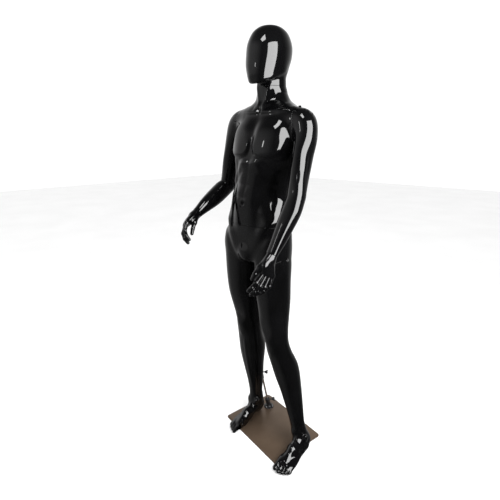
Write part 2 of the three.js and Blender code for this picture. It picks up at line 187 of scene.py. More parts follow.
def ball(p, centre, radii, axis=(0, 0, 1), hint=(0, -1, 0)):
    """A soft ellipsoid: its last radius lies along `axis`, its second along `hint`."""
    w = unit(axis)
    u = unit(np.cross(w, np.asarray(hint, float)))
    v = np.cross(u, w)
    offset = p - np.asarray(centre, float)
    local = np.stack([offset @ u, offset @ -v, offset @ w], 1) / np.asarray(radii, float)
    rho = np.linalg.norm(local, axis=1)
    steep = np.linalg.norm(local / np.asarray(radii, float), axis=1)
    return rho * (rho - 1.0) / np.maximum(steep, 1e-9)


def bone(p, a, b, ra, rb):
    """A round cone from a to b."""
    a, b = np.asarray(a, float), np.asarray(b, float)
    ab = b - a
    t = np.clip(((p - a) @ ab) / (ab @ ab), 0.0, 1.0)
    return np.linalg.norm(p - a - t[:, None] * ab, axis=1) - (ra + (rb - ra) * t)


def groove(x, y, path, width):
    """1 on a line drawn in a plane, falling off to each side; the line is a list of points."""
    best = np.full(x.shape, 1e9)
    for (ax, ay), (bx, by) in zip(path[:-1], path[1:]):
        dx, dy = bx - ax, by - ay
        t = np.clip(((x - ax) * dx + (y - ay) * dy) / (dx * dx + dy * dy), 0.0, 1.0)
        best = np.minimum(best, (x - ax - t * dx) ** 2 + (y - ay - t * dy) ** 2)
    return np.exp(-best / width**2)


# ---- body stations, millimetres ----

HEAD = LevelLoft([
    [-47, 0, 1846.5, 6, 6, 6, 2.0],
    [-47, 0, 1843.5, 30, 32, 39, 2.05],
    [-48, 0, 1835, 49, 53, 68, 2.05],
    [-49, 0, 1815, 65, 75, 93, 2.1],
    [-50, -1, 1777, 76, 93, 111, 2.15],
    [-51, -2, 1735, 78, 97, 106, 2.2],
    [-51, -3, 1698, 74, 100, 85, 2.25],
    [-50, -3, 1665, 66, 98, 68, 2.3],
    [-49, -2, 1640, 61, 95, 64, 2.3],
    [-49, -2, 1610, 57, 92, 62, 2.3],
])
JAW_AT = (-49, -94, 1627)
JAW_SLOPE = 0.32

NECK = LevelLoft([
    [-50, 19, 1730, 52, 50, 53, 2.1],
    [-50, 19, 1690, 55, 54, 56, 2.1],
    [-49, 19, 1640, 57, 61, 58, 2.1],
    [-48, 19, 1590, 58, 60, 61, 2.1],
    [-47, 20, 1550, 63, 58, 66, 2.1],
    [-47, 20, 1500, 74, 58, 70, 2.1],
])

TRUNK = LevelLoft([
    [-47, 20, 1604, 50, 34, 52, 2.2],
    [-45, 18, 1576, 76, 44, 64, 2.2],
    [-47, 14, 1549, 118, 68, 78, 2.3],
    [-47, 12, 1512, 138, 80, 91, 2.5],
    [-48, 10, 1450, 147, 107, 101, 2.65],
    [-51, 8, 1370, 147, 120, 105, 2.65],
    [-60, 8, 1310, 142, 116, 103, 2.4],
    [-76, 8, 1250, 134, 110, 96, 2.2],
    [-92, 8, 1190, 135, 111, 92, 2.15],
    [-98, 8, 1130, 142, 110, 93, 2.2],
    [-101, 6, 1060, 157, 106, 102, 2.3],
    [-106, 4, 1000, 167, 103, 103, 2.3],
    [-108, 2, 940, 167, 93, 97, 2.3],
    [-105, 0, 905, 148, 78, 88, 2.2],
    [-102, 0, 884, 108, 60, 70, 2.1],
])

RIGHT_LEG = LevelLoft([
    [-194, 2, 1010, 70, 82, 92, 2.2],
    [-195, 2, 960, 82, 89, 98, 2.2],
    [-188, 0, 880, 84, 90, 98, 2.2],
    [-185, 0, 800, 81, 87, 88, 2.2],
    [-180, 2, 720, 75, 81, 79, 2.15],
    [-170, 4, 640, 67, 71, 68, 2.1],
    [-164, 4, 580, 62, 63, 61, 2.1],
    [-161, 3, 535, 61, 60, 58, 2.1],
    [-160, 9, 480, 61, 56, 64, 2.1],
    [-161, 17, 420, 62, 55, 70, 2.1],
    [-160, 22, 360, 61, 52, 69, 2.1],
    [-152, 27, 280, 51, 47, 55, 2.05],
    [-142, 30, 200, 40, 40, 43, 2.05],
    [-136, 31, 140, 33, 37, 38, 2.1],
    [-133, 30, 90, 34, 40, 39, 2.1],
    [-131, 28, 50, 33, 40, 40, 2.1],
])

LEFT_LEG = LevelLoft([
    [-17, 0, 1010, 66, 80, 90, 2.2],
    [-18, -1, 960, 73, 88, 94, 2.2],
    [-9, -7, 880, 77, 90, 96, 2.2],
    [1, -17, 800, 78, 87, 87, 2.2],
    [19, -28, 720, 73, 80, 78, 2.15],
    [36, -39, 640, 64, 70, 65, 2.1],
    [49, -45, 580, 55, 61, 55, 2.1],
    [59, -48, 535, 53, 57, 52, 2.1],
    [71, -43, 480, 55, 54, 58, 2.1],
    [90, -35, 420, 58, 52, 66, 2.1],
    [107, -28, 360, 58, 50, 65, 2.1],
    [129, -20, 280, 49, 45, 52, 2.05],
    [150, -17, 200, 40, 40, 42, 2.05],
    [167, -16, 140, 34, 38, 37, 2.1],
    [181, -15, 90, 34, 40, 39, 2.1],
    [191, -14, 50, 33, 40, 40, 2.1],
])

ARM_HINT = (0, -1, 0.2)
RIGHT_ARM = SweptLoft([
    [-150, 10, 1502, 36, 46, 48],
    [-190, 8, 1503, 45, 49, 50],
    [-222, 10, 1485, 46, 50, 51],
    [-243, 11, 1434, 43, 49, 50],
    [-267, 14, 1368, 40, 46, 47],
    [-294, 24, 1302, 39, 43, 44],
    [-323, 36, 1243, 36, 39, 38],
    [-334, 32, 1208, 35, 38, 37],
    [-338, -2, 1188, 38, 38, 41],
    [-337, -62, 1155, 36, 36, 41],
    [-336, -110, 1127, 30, 33, 33],
    [-336, -150, 1102, 25, 26, 24],
    [-336, -176, 1087, 25, 24, 21],
], ARM_HINT)

LEFT_ARM = SweptLoft([
    [56, 8, 1498, 36, 46, 48],
    [96, 6, 1499, 43, 49, 50],
    [127, 3, 1482, 47, 50, 51],
    [143, -6, 1430, 42, 47, 48],
    [151, -30, 1366, 37, 42, 43],
    [160, -59, 1300, 36, 39, 40],
    [173, -88, 1245, 35, 37, 37],
    [178, -104, 1205, 35, 36, 36],
    [176, -126, 1160, 37, 36, 36],
    [171, -156, 1110, 34, 33, 33],
    [166, -187, 1058, 28, 27, 27],
    [162, -214, 1018, 24, 20, 20],
    [159, -231, 992, 24, 19, 19],
], ARM_HINT)


# ---- muscles and creases ----

def chest_rise(at):
    """Pectorals, ribs, belly and groin on the front of the trunk."""
    u, z, side = at.u, at.z, np.abs(at.u)
    q = ((np.abs(side - 71) / 68) ** 3.0 + (np.abs(z - 1424) / 78) ** 3.0) ** (1 / 3.0)
    lower = 1 - smoothstep(0.78, 1.04, q)
    upper = 1 - smoothstep(0.5, 1.14, q)
    low_part = smoothstep(1440, 1390, z)
    rise = 8.0 * (lower * low_part + upper * (1 - low_part))
    rise += 2.5 * bell(side - 66, 42) * bell(z - 1385, 38)
    rise -= 3.0 * bell(u, 20) * smoothstep(1320, 1365, z) * smoothstep(1540, 1500, z)
    rise -= 2.2 * bell(u, 9) * smoothstep(1150, 1190, z) * smoothstep(1352, 1330, z)
    belly = smoothstep(1352, 1326, z) * smoothstep(1000, 1070, z)
    rise += 7.5 * belly * (1 - smoothstep(24, 76, side))
    for height in (1296, 1244, 1192):
        rise -= 0.9 * bell(z - height, 12) * (1 - smoothstep(40, 62, side)) * smoothstep(3, 14, side)
    rise -= 2.2 * groove(side, z, [(76, 1330), (70, 1220), (68, 1120), (72, 1060)], 14)
    rise += 3.5 * groove(side, z, [(30, 1338), (62, 1290), (100, 1246), (128, 1226)], 17)
    rise -= 2.5 * groove(side, z, [(40, 1300), (70, 1262), (104, 1220), (128, 1200)], 16)
    rise -= 6.0 * bell(u, 6.5) * bell(z - 1160, 8)
    rise += 1.2 * bell(np.hypot(u, z - 1160) - 13, 7)
    rise -= 6.5 * groove(side, z, [(150, 1062), (118, 1024), (84, 966), (58, 908), (48, 880)], 16)
    rise += 5.0 * groove(side, z, [(112, 1072), (70, 1000), (40, 940)], 26)
    rise -= 15.0 * smoothstep(38, 98, u) * smoothstep(1120, 1190, z) * smoothstep(1350, 1300, z)
    return rise * at.front


def collar_rise(at):
    """Collar bones and the hollow above the breast bone."""
    side, z = np.abs(at.u), at.z
    rise = 6.5 * groove(side, z, [(16, 1529), (48, 1529), (92, 1533), (132, 1537)], 10)
    rise -= 4.0 * groove(side, z, [(40, 1548), (84, 1556)], 11)
    rise -= 7.0 * bell(at.u, 12) * bell(z - 1537, 12)
    return rise * smoothstep(-0.1, 0.4, at.fv)


def back_rise(at):
    """Spine furrow, shoulder blades, erector columns and the small of the back."""
    side, z = np.abs(at.u), at.z
    rise = -8.0 * bell(at.u, 15) * smoothstep(985, 1060, z) * smoothstep(1540, 1450, z)
    rise += 5.0 * bell(side - 34, 22) * smoothstep(1010, 1090, z) * smoothstep(1330, 1220, z)
    rise -= 4.0 * groove(side, z, [(60, 1330), (92, 1352), (128, 1372)], 15)
    rise += bumps(side, z, [(8.0, 82, 40, 1425, 52), (5.0, 108, 28, 1330, 60),
                            (-3.0, 42, 12, 1022, 14)])
    return rise * at.back


def trunk(p):
    at = TRUNK.at(p)
    side, z = np.abs(at.u), at.z
    flank = bell(side - 130, 30) * bell(z - 1092, 40) * (1 - np.abs(at.fv) * 0.5)
    rise = chest_rise(at) + collar_rise(at) + back_rise(at) + 3.0 * flank
    body = at.closed(rise, 18)
    glutes = [ball(p, (-106 + sign * 66, 54, 948), (70, 62, 84)) for sign in (-1, 1)]
    seat = soft_min(glutes[0], glutes[1], 7)
    body = soft_min(body, seat, 26)
    mound = ball(p, (-103, -56, 934), (43, 52, 50))
    return soft_min(body, mound, 28)


def neck(p):
    at = NECK.at(p)
    side, z = np.abs(at.u), at.z
    cord = 1680 - z
    rise = 5.0 * bell(side - (44 - cord * 0.24), 9) * smoothstep(-0.1, 0.5, at.fv)
    rise *= smoothstep(1655, 1615, z) * smoothstep(1515, 1545, z)
    rise -= 2.5 * bell(at.u, 14) * at.front * smoothstep(1575, 1535, z)
    return at.closed(rise, 10)


def head(p):
    at = HEAD.at(p)
    egg = at.closed(0.0, 6)
    jaw = (JAW_AT[2] - p[:, 2] + JAW_SLOPE * (p[:, 1] - JAW_AT[1])) / math.hypot(1, JAW_SLOPE)
    return soft_max(egg, jaw, 18)


def leg_rise(at, out):
    """Thigh, knee, shin and calf. `out` is +1 where the outer side is on +X."""
    angle, side, z = at.angle * out, np.abs(at.u), at.z
    rise = bumps(angle, z, [(5.0, 0.55, 0.5, 690, 95), (5.5, -0.62, 0.38, 615, 46),
                            (4.0, 0, 0.5, 760, 110), (6.0, -2.45, 0.5, 405, 56),
                            (5.0, 2.45, 0.5, 425, 52)])
    shin = 3.0 * bell(at.u + 10 * out, 9) * smoothstep(500, 440, z) * smoothstep(130, 220, z)
    knee = bumps(at.u, z, [(6.5, 0, 24, 556, 25), (-3.5, 0, 30, 602, 18), (4.0, 0, 15, 500, 18)])
    rise += (shin + knee + bumps(side, z, [(-3.0, 36, 12, 545, 30)])) * at.front
    calf = -3.0 * bell(at.u, 9) * smoothstep(340, 400, z) * smoothstep(500, 450, z)
    calf += bumps(at.u, z, [(-3.0, 0, 22, 540, 40)])
    calf += bumps(side, z, [(4.0, 30, 12, 590, 50), (-3.5, 20, 10, 150, 50)])
    rise += calf * at.back
    return rise


def leg(loft, out, ankle, p):
    at = loft.at(p)
    shape = at.closed(leg_rise(at, out), 14)
    x, y = ankle
    inner = ball(p, (x - out * 28, y - 8, 98), (9, 14, 15))
    outer = ball(p, (x + out * 29, y + 6, 84), (8, 14, 16))
    return soft_min(soft_min(shape, inner, 15), outer, 15)


# Toes: how far across from the middle, knuckle and tip ahead of the ankle, thickness.
TOES = [(27, 150, 176, 12.5), (8, 156, 179, 9.0), (-8, 152, 172, 8.5), (-22, 146, 163, 8.0),
        (-35, 137, 151, 7.5)]


def foot(p, x, y, out, floor):
    """A foot whose toes point to -Y, turned out a little. `out` is +1 on the left foot."""
    turn = 0.1
    ahead = -(p[:, 1] - y)
    across = (p[:, 0] - x - turn * ahead) * -out
    q = np.stack([across, ahead, p[:, 2] - floor], 1)
    heel = ball(q, (0, -38, 27), (29, 33, 31))
    back_arch = bone(q, (0, -30, 44), (3, 60, 36), 30, 27)
    front_arch = bone(q, (3, 60, 34), (6, 122, 18), 28, 17)
    arch = soft_min(back_arch, front_arch, 14)
    ball_in = ball(q, (22, 118, 17), (21, 36, 18))
    ball_out = ball(q, (-20, 104, 14), (22, 48, 15))
    edge = bone(q, (-18, -20, 16), (-22, 90, 12), 17, 13)
    shape = soft_min(soft_min(heel, arch, 26), soft_min(ball_in, ball_out, 22), 22)
    shape = soft_min(shape, edge, 16)
    instep = 5 * bell(q[:, 0] - 4, 14) * bell(q[:, 1] - 60, 50)
    shape = shape - instep * smoothstep(30, 50, q[:, 2])
    for side, knuckle, tip, thick in TOES:
        high = thick + 1.5
        toe = bone(q, (side, knuckle - 34, high + 7), (side, knuckle, high + 1), thick, thick)
        pad = ball(q, (side * 1.03, tip - thick * 0.8, thick),
                   (thick * 0.97, thick * 1.4, thick * 0.92))
        shape = soft_min(shape, soft_min(toe, pad, 6), 6)
    return soft_max(shape, 0.3 - q[:, 2], 3)


def arm_rise(fu, fv, t, out):
    """Deltoid point, biceps, triceps and the forearm's outer muscle."""
    angle = np.arctan2(fu * out, fv)
    rise = bumps(angle, t, [(4.0, 1.4, 0.8, 0.22, 0.07), (-3.0, 1.4, 0.9, 0.335, 0.045),
                            (4.5, 0, 0.65, 0.36, 0.09), (-2.0, 1.55, 0.3, 0.4, 0.09),
                            (3.0, 0.9, 0.6, 0.66, 0.08), (2.5, -1.9, 0.7, 0.7, 0.09)])
    rise += bumps(np.abs(angle), t, [(4.5, 2.7, 0.6, 0.34, 0.1)])
    return rise


def arm(loft, out, p):
    gap, fu, fv, t = loft.at(p)
    return gap - arm_rise(fu, fv, t, -out)


def right_arm(p):
    elbow = ball(p, (-334, 57, 1208), (15, 15, 19), (0.1, -0.5, -0.9))
    return soft_min(arm(RIGHT_ARM, -1, p), elbow, 22)


def left_arm(p):
    elbow = ball(p, (177, -76, 1206), (14, 14, 18), (0, -0.4, -0.9))
    return soft_min(arm(LEFT_ARM, 1, p), elbow, 22)


# ---- hands ----

FINGER_TAPER = (1.0, 0.94, 0.88, 0.76)       # thickness at the root, two joints and the tip
KNUCKLE = 1.02                               # a joint's swelling
THUMB_THICK = 10.4


def finger(p, points, thick):
    """Three bones with a slight swelling at each joint and a rounded tip."""
    shape = None
    for n in range(3):
        thick_here, thick_next = thick * FINGER_TAPER[n], thick * FINGER_TAPER[n + 1]
        piece = bone(p, points[n], points[n + 1], thick_here, thick_next)
        shape = piece if shape is None else soft_min(shape, piece, 1.5)
        if n:
            knuckle = np.linalg.norm(p - np.asarray(points[n], float), axis=1)
            shape = soft_min(shape, knuckle - thick_here * KNUCKLE, 2)
    return shape


# The right hand's own frame: along the hand, towards the thumb's side, and out of its back.
RIGHT_WRIST = np.array([-336.0, -160.0, 1094.0])
ALONG = unit((0, -0.86, -0.52))
THUMBWARD = unit((0.766, -0.334, 0.553))
BACK = unit((-0.645, -0.396, 0.654))
FINGER_BENDS = (27, 58, 79)


def on_hand(along, across, out):
    """A point of the right hand, measured from its wrist."""
    return RIGHT_WRIST + along * ALONG + across * THUMBWARD + out * BACK


def curled(along, across, bones):
    """Knuckles of a finger whose bones turn further and further from the back of the hand."""
    points = [on_hand(along, across, 0)]
    for length, degrees in zip(bones, FINGER_BENDS):
        bend = math.radians(degrees)
        points.append(points[-1] + length * (math.cos(bend) * ALONG - math.sin(bend) * BACK))
    return points


RIGHT_FINGERS = [
    (curled(84, 24, (40, 26, 21)), 9.4),
    (curled(88, 8, (44, 28, 22)), 9.6),
    (curled(86, -8, (41, 26, 21)), 9.2),
    (curled(80, -23, (34, 21, 19)), 8.2),
]
RIGHT_THUMB = [on_hand(18, 10, -6), on_hand(54, 14, -22), on_hand(80, 8, -36), on_hand(98, 2, -48)]
LEFT_FINGERS = [
    ([(161, -264, 951), (153, -299, 914), (146, -316, 898), (140, -327, 888)], 9.0),
    ([(167, -255, 944), (162, -290, 901), (153, -308, 882), (144, -319, 871)], 9.2),
    ([(172, -243, 937), (169, -271, 894), (158, -289, 875), (147, -300, 865)], 8.8),
    ([(176, -232, 930), (174, -250, 892), (163, -267, 874), (152, -278, 864)], 7.8),
]
LEFT_THUMB = [(158, -240, 990), (147, -274, 966), (140, -292, 944), (135, -300, 926)]


def hand(p, wrist, wrist_size, palm, fingers, thumb):
    """A hand: wrist, a palm spread to the finger roots, four fingers and a thumb."""
    wrist_end = np.asarray(wrist[1], float)
    shape = bone(p, wrist[0], wrist_end, wrist_size, wrist_size - 1.5)
    shape = soft_min(shape, ball(p, *palm), 16)
    for points, thick in fingers:
        root = np.asarray(points[0], float)
        web = bone(p, wrist_end * 0.45 + root * 0.55, root, thick * 1.3, thick * 1.15)
        shape = soft_min(shape, web, 9)
        shape = soft_min(shape, finger(p, points, thick), 4)
    heel = bone(p, wrist_end, thumb[1], 15, 12)
    shape = soft_min(shape, heel, 14)
    return soft_min(shape, finger(p, thumb, THUMB_THICK), 7)


def right_hand(p):
    return hand(p, [(-336, -150, 1102), (-337, -182, 1084)], 24,
                [on_hand(50, 0, 2), (32, 18, 44), ALONG, BACK],
                RIGHT_FINGERS, RIGHT_THUMB)


def left_hand(p):
    return hand(p, [(162, -212, 1018), (161, -232, 992)], 21.5,
                [(165, -243, 966), (15, 33, 34), (0.05, -0.35, -0.93), (0, -0.93, 0.35)],
                LEFT_FINGERS, LEFT_THUMB)


# ---- seams ----

class Seam:
    """A cut plane from a joint of the frame, with its peg's radius and length.

    `along` points to the side named first."""

    def __init__(self, joint, peg, flip=False):
        made = JOINTS[joint]
        self.at = np.array(made["pos_m"]) / MM
        self.along = unit(made["axis"]) * (-1 if flip else 1)
        self.peg = peg

    def side(self, p):
        return (p - self.at) @ self.along


SEAMS = {
    "neck": Seam("head_turn", (14, 19)),
    "waist": Seam("waist_twist", (16, 29)),
    "left_thigh": Seam("left_leg_twist", (14, 25)),
    "right_shoulder": Seam("right_arm_swing", (10, 21)),
    "left_shoulder": Seam("left_arm_swing", (10, 21), flip=True),
    "right_wrist": Seam("right_hand_turn", (6, 13)),
    "left_wrist": Seam("left_hand_turn", (6, 13)),
}
SPARE = 5.0                                  # the field runs this far past a seam before it is cut


# ---- whole shapes ----

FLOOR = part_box("base_plate")[1][2] / MM + 0.4
RIGHT_ANKLE, LEFT_ANKLE = (-131, 4), (198, -34)
FOOT_BELOW = 170                             # the foot joins the leg below this height
THIGH_ABOVE = 800                            # the thighs join the trunk above this height
TORSO_ARMS_ABOVE, ARM_ROOT_ABOVE = 1340, 1350
OUTSIDE = -1e3                               # a cut that leaves the shape as it is


def armpit_softness(z):
    return 4 + 34 * smoothstep(1375, 1450, z)


def shoulders(p):
    """Trunk and neck with the roots of both arms."""
    shape = soft_min(trunk(p), neck(p), 34)
    k = armpit_softness(p[:, 2])
    for limb in (right_arm, left_arm):
        shape = soft_min(shape, limb(p), k)
    return shape


def torso_field(p):
    high = p[:, 2] > TORSO_ARMS_ABOVE
    shape = soft_min(trunk(p), neck(p), 34)
    past = [SEAMS[f"{side}_shoulder"].side(p) for side in ("right", "left")]
    near = high & (np.maximum(*past) > -135)
    shape[near] = shoulders(p[near])
    for beyond in past:
        shape = np.maximum(shape, np.where(high, beyond - SPARE, OUTSIDE))
    shape = np.maximum(shape, SEAMS["neck"].side(p) - SPARE)
    return np.maximum(shape, -SEAMS["waist"].side(p) - SPARE)


def arm_field(limb, hand_side):
    shoulder, wrist = SEAMS[f"{hand_side}_shoulder"], SEAMS[f"{hand_side}_wrist"]

    def field(p):
        shape = limb(p)
        root = (p[:, 2] > ARM_ROOT_ABOVE) & (shoulder.side(p) < 70)
        shape[root] = shoulders(p[root])
        shape = np.maximum(shape, -shoulder.side(p) - SPARE)
        return np.maximum(shape, -wrist.side(p) - SPARE)
    return field


def head_field(p):
    shape = soft_min(head(p), neck(p), 9 + 24 * smoothstep(30, 80, p[:, 1]))
    return np.maximum(shape, -SEAMS["neck"].side(p) - SPARE)


def hips(p, legs_apart):
    """Pelvis with both thigh roots. The thighs blend only above the crotch."""
    k = 3 + 24 * smoothstep(855, 905, p[:, 2])
    right = leg(RIGHT_LEG, -1, RIGHT_ANKLE, p)
    left = leg(LEFT_LEG, 1, LEFT_ANKLE, p)
    return soft_min(trunk(p), soft_min(right, left, np.where(legs_apart, 1.0, k)), k)


def pelvis_field(p):
    shape = leg(RIGHT_LEG, -1, RIGHT_ANKLE, p)
    low = p[:, 2] < FOOT_BELOW
    shape[low] = soft_min(shape[low], foot(p[low], *RIGHT_ANKLE, -1, FLOOR), 22)
    high = p[:, 2] > THIGH_ABOVE
    shape[high] = hips(p[high], False)
    beside = (p[:, 0] > -96) & (p[:, 2] < 960)
    shape = np.maximum(shape, np.where(beside, -SEAMS["left_thigh"].side(p) - SPARE, OUTSIDE))
    shape = np.maximum(shape, FLOOR - p[:, 2])
    return np.maximum(shape, SEAMS["waist"].side(p) - SPARE)


def left_leg_field(p):
    shape = leg(LEFT_LEG, 1, LEFT_ANKLE, p)
    low = p[:, 2] < FOOT_BELOW
    shape[low] = soft_min(shape[low], foot(p[low], *LEFT_ANKLE, 1, FLOOR), 22)
    high = p[:, 2] > THIGH_ABOVE
    joined = hips(p[high], True)
    inner = smoothstep(-60, -84, p[high][:, 0])
    shape[high] = joined * (1 - inner) + shape[high] * inner
    shape = np.maximum(shape, FLOOR - p[:, 2])
    return np.maximum(shape, SEAMS["left_thigh"].side(p) - SPARE)


def hand_field(shape_of, hand_side):
    wrist = SEAMS[f"{hand_side}_wrist"]

    def field(p):
        return np.maximum(shape_of(p), wrist.side(p) - SPARE)
    return field


# ---- meshing a field ----

CORNERS = np.array([(i, j, k) for i in (0, 1) for j in (0, 1) for k in (0, 1)])
SKIP = 3                                     # a first, coarse look takes every third point
SPINE_BATCH, FIELD_BATCH = 40000, 150000     # points measured at a time


def sampled(field, axes, step):
    """The field on a grid. Only cells near the surface are measured at full detail."""
    shape = tuple(len(axis) for axis in axes)
    rough_axes = [axis[::SKIP] for axis in axes]
    rough = np.stack(np.meshgrid(*rough_axes, indexing="ij"), -1).reshape(-1, 3)
    values = field(rough).reshape([len(axis) for axis in rough_axes])
    near = np.abs(values) < SKIP * step * 2.4
    wide = near.copy()
    for axis in range(3):
        wide |= np.roll(wide, 1, axis) | np.roll(wide, -1, axis)
    for axis, length in enumerate(shape):
        values = np.repeat(values, SKIP, axis).take(range(length), axis)
        wide = np.repeat(wide, SKIP, axis).take(range(length), axis)
    picked = np.argwhere(wide)
    points = np.stack([axes[n][picked[:, n]] for n in range(3)], 1)
    for first in range(0, len(points), FIELD_BATCH):
        part = slice(first, first + FIELD_BATCH)
        values[tuple(picked[part].T)] = field(points[part])
    return values


def net(field, low, high, step):
    """Surface net of a field in a box: vertices in millimetres and quads that face out."""
    axes = [np.arange(a, b + SKIP * step, step) for a, b in zip(low, high)]
    axes = [axis[:len(axis) - len(axis) % SKIP] for axis in axes]
    values = sampled(field, axes, step)
    shape = values.shape
    inside = values < 0
    count = sum(inside[i:shape[0] - 1 + i, j:shape[1] - 1 + j, k:shape[2] - 1 + k].astype(int)
                for i, j, k in CORNERS)
    cells = np.argwhere((count > 0) & (count < 8))
    at = cells[:, None, :] + CORNERS[None]
    v = values[at[..., 0], at[..., 1], at[..., 2]]
    total = np.zeros((len(cells), 3))
    hits = np.zeros(len(cells))
    for a in range(8):
        for axis, bit in enumerate((4, 2, 1)):
            if a & bit:
                continue
            va, vb = v[:, a], v[:, a | bit]
            cross = (va < 0) != (vb < 0)
            point = np.tile(CORNERS[a].astype(float), (len(cells), 1))
            point[:, axis] += va / np.where(cross, va - vb, 1)
            total += np.where(cross[:, None], point, 0)
            hits += cross
    points = np.array([axis[0] for axis in axes]) + (cells + total / hits[:, None]) * step
    number = np.full([length - 1 for length in shape], -1)
    number[tuple(cells.T)] = np.arange(len(cells))
    quads = [net_quads(inside, number, axis) for axis in range(3)]
    return points, np.vstack(quads)


def net_quads(inside, number, axis):
    """One quad round every grid edge along an axis that crosses the surface."""
    first = inside[tuple(slice(0, -1) if n == axis else slice(1, -1) for n in range(3))]
    second = inside[tuple(slice(1, None) if n == axis else slice(1, -1) for n in range(3))]
    start = np.argwhere(first != second) + np.array([0 if n == axis else 1 for n in range(3)])
    m, n = (axis + 1) % 3, (axis + 2) % 3
    around = []
    for dm, dn in ((1, 1), (0, 1), (0, 0), (1, 0)):
        cell = start.copy()
        cell[:, m] -= dm
        cell[:, n] -= dn
        around.append(number[tuple(cell.T)])
    ring = np.stack(around, 1)
    entering = ~inside[tuple(start.T)]
    ring[entering] = ring[entering][:, ::-1]
    return ring


def slope(field, points, reach=0.6):
    """The field's value and gradient at points, from four samples each."""
    ways = np.array([[1, -1, -1], [-1, -1, 1], [-1, 1, -1], [1, 1, 1]], float)
    samples = [field(points + reach * way) for way in ways]
    gradient = sum(way[None] * sample[:, None] for way, sample in zip(ways, samples)) / (4 * reach)
    return sum(samples) / 4, gradient


def settle(field, points, rounds=1):
    """Moves points on to the surface of the field."""
    for _ in range(rounds):
        value, gradient = slope(field, points)
        steep = np.maximum((gradient**2).sum(1), 0.05)
        move = -(value / steep)[:, None] * gradient
        far = np.linalg.norm(move, axis=1, keepdims=True)
        points = points + move * np.minimum(1.0, 3.0 / np.maximum(far, 1e-9))
    return points


def relax(points, quads, field, rounds=3):
    """Evens out the mesh while it stays on the surface."""
    edges = np.vstack([quads[:, [0, 1]], quads[:, [1, 2]], quads[:, [2, 3]], quads[:, [3, 0]]])
    ends = np.concatenate([edges[:, 0], edges[:, 1]])
    others = np.concatenate([edges[:, 1], edges[:, 0]])
    count = np.maximum(np.bincount(ends, minlength=len(points)), 1)
    for _ in range(rounds):
        middle = np.stack([np.bincount(ends, points[others, n], len(points)) / count
                           for n in range(3)], 1)
        points = settle(field, points * 0.4 + middle * 0.6)
    return settle(field, points)


def refine(points, quads, field, height):
    """Splits each quad below a height into four and settles the new points."""
    bm = bmesh.new()
    verts = [bm.verts.new(p) for p in points]
    faces = [bm.faces.new([verts[n] for n in quad]) for quad in quads]
    low = {e for f in faces if max(v.co.z for v in f.verts) < height for e in f.edges}
    bmesh.ops.subdivide_edges(bm, edges=sorted(low, key=lambda e: e.index), cuts=1, use_grid_fill=True)
    bm.verts.index_update()
    points = np.array([v.co[:] for v in bm.verts])
    near = points[:, 2] < height
    points[near] = settle(field, points[near], 3)
    polygons = [[v.index for v in f.verts] for f in bm.faces]
    bm.free()
    return points, polygons


def skin(field, low, high, step, fine_below=None):
    """The mesh of a field, evened out, as a bmesh in millimetres."""
    points, polygons = net(field, low, high, step)
    points = relax(settle(field, points, 2), polygons, field)
    if fine_below:
        points, polygons = refine(points, polygons, field, fine_below)
    bm = bmesh.new()
    verts = [bm.verts.new(p) for p in points]
    for polygon in polygons:
        bm.faces.new([verts[n] for n in polygon])
    bm.normal_update()
    return bm


# ---- cutting shells and rolling rims ----

def cut(bm, seam, keep, area, step):
    """Cuts a mesh just before a seam and returns the cut. `keep` is 1 for the side that the seam
    points to, else -1. Only what lies in `area`, two corners of a box, is cut."""
    normal = Vector(seam.along * keep)
    at = Vector(seam.at + seam.along * keep * SEAM_SHORT)
    faces = [f for f in bm.faces
             if all(a <= c <= b for a, c, b in zip(area[0], f.calc_center_median(), area[1]))]
    verts = list({v: None for f in faces for v in f.verts})
    edges = list({e: None for f in faces for e in f.edges})
    for vert in verts:
        gap = (vert.co - at).dot(normal)
        slide = normal - vert.normal * vert.normal.dot(normal)
        if abs(gap) < 0.35 * step and slide.length_squared > 0.3:
            vert.co -= slide * (gap / slide.length_squared)
    bmesh.ops.bisect_plane(bm, geom=verts + edges + faces, dist=0.01, plane_co=at,
                           plane_no=normal, clear_inner=True)
    return at, normal


def pierce(bm, at, along, radius, reach):
    """Opens a round hole in the skin where a rod passes through it, within reach of a point."""
    at, along = Vector(at), Vector(along)

    def across(point):
        offset = point - at
        return offset - along * offset.dot(along)

    inside = [f for f in bm.faces if across(f.calc_center_median()).length < radius
              and 0 < (f.calc_center_median() - at).dot(along) < reach]
    bmesh.ops.delete(bm, geom=inside, context="FACES")
    for vert in bm.verts:
        away = across(vert.co)
        if vert.is_boundary and away.length < radius * 2:
            vert.co += away.normalized() * (radius - away.length)


def ordered(edges):
    """The vertices of a closed loop of edges, in order."""
    links = {}
    for edge in edges:
        for vert in edge.verts:
            links.setdefault(vert, []).append(edge.other_vert(vert))
    start = edges[0].verts[0]
    walk, previous, current = [start], start, links[start][0]
    while current != start:
        walk.append(current)
        previous, current = current, next(v for v in links[current] if v != previous)
    return walk


# How a shell's edge rolls in at a seam: inset from the skin, and distance back from the cut.
RIM_BACK = SEAM_HALF - SEAM_SHORT
RIM = [(0.22, -0.42), (0.75, -0.64), (1.6, RIM_BACK), (WALL - 0.5, RIM_BACK), (WALL, 0.0), (WALL, 9.0)]


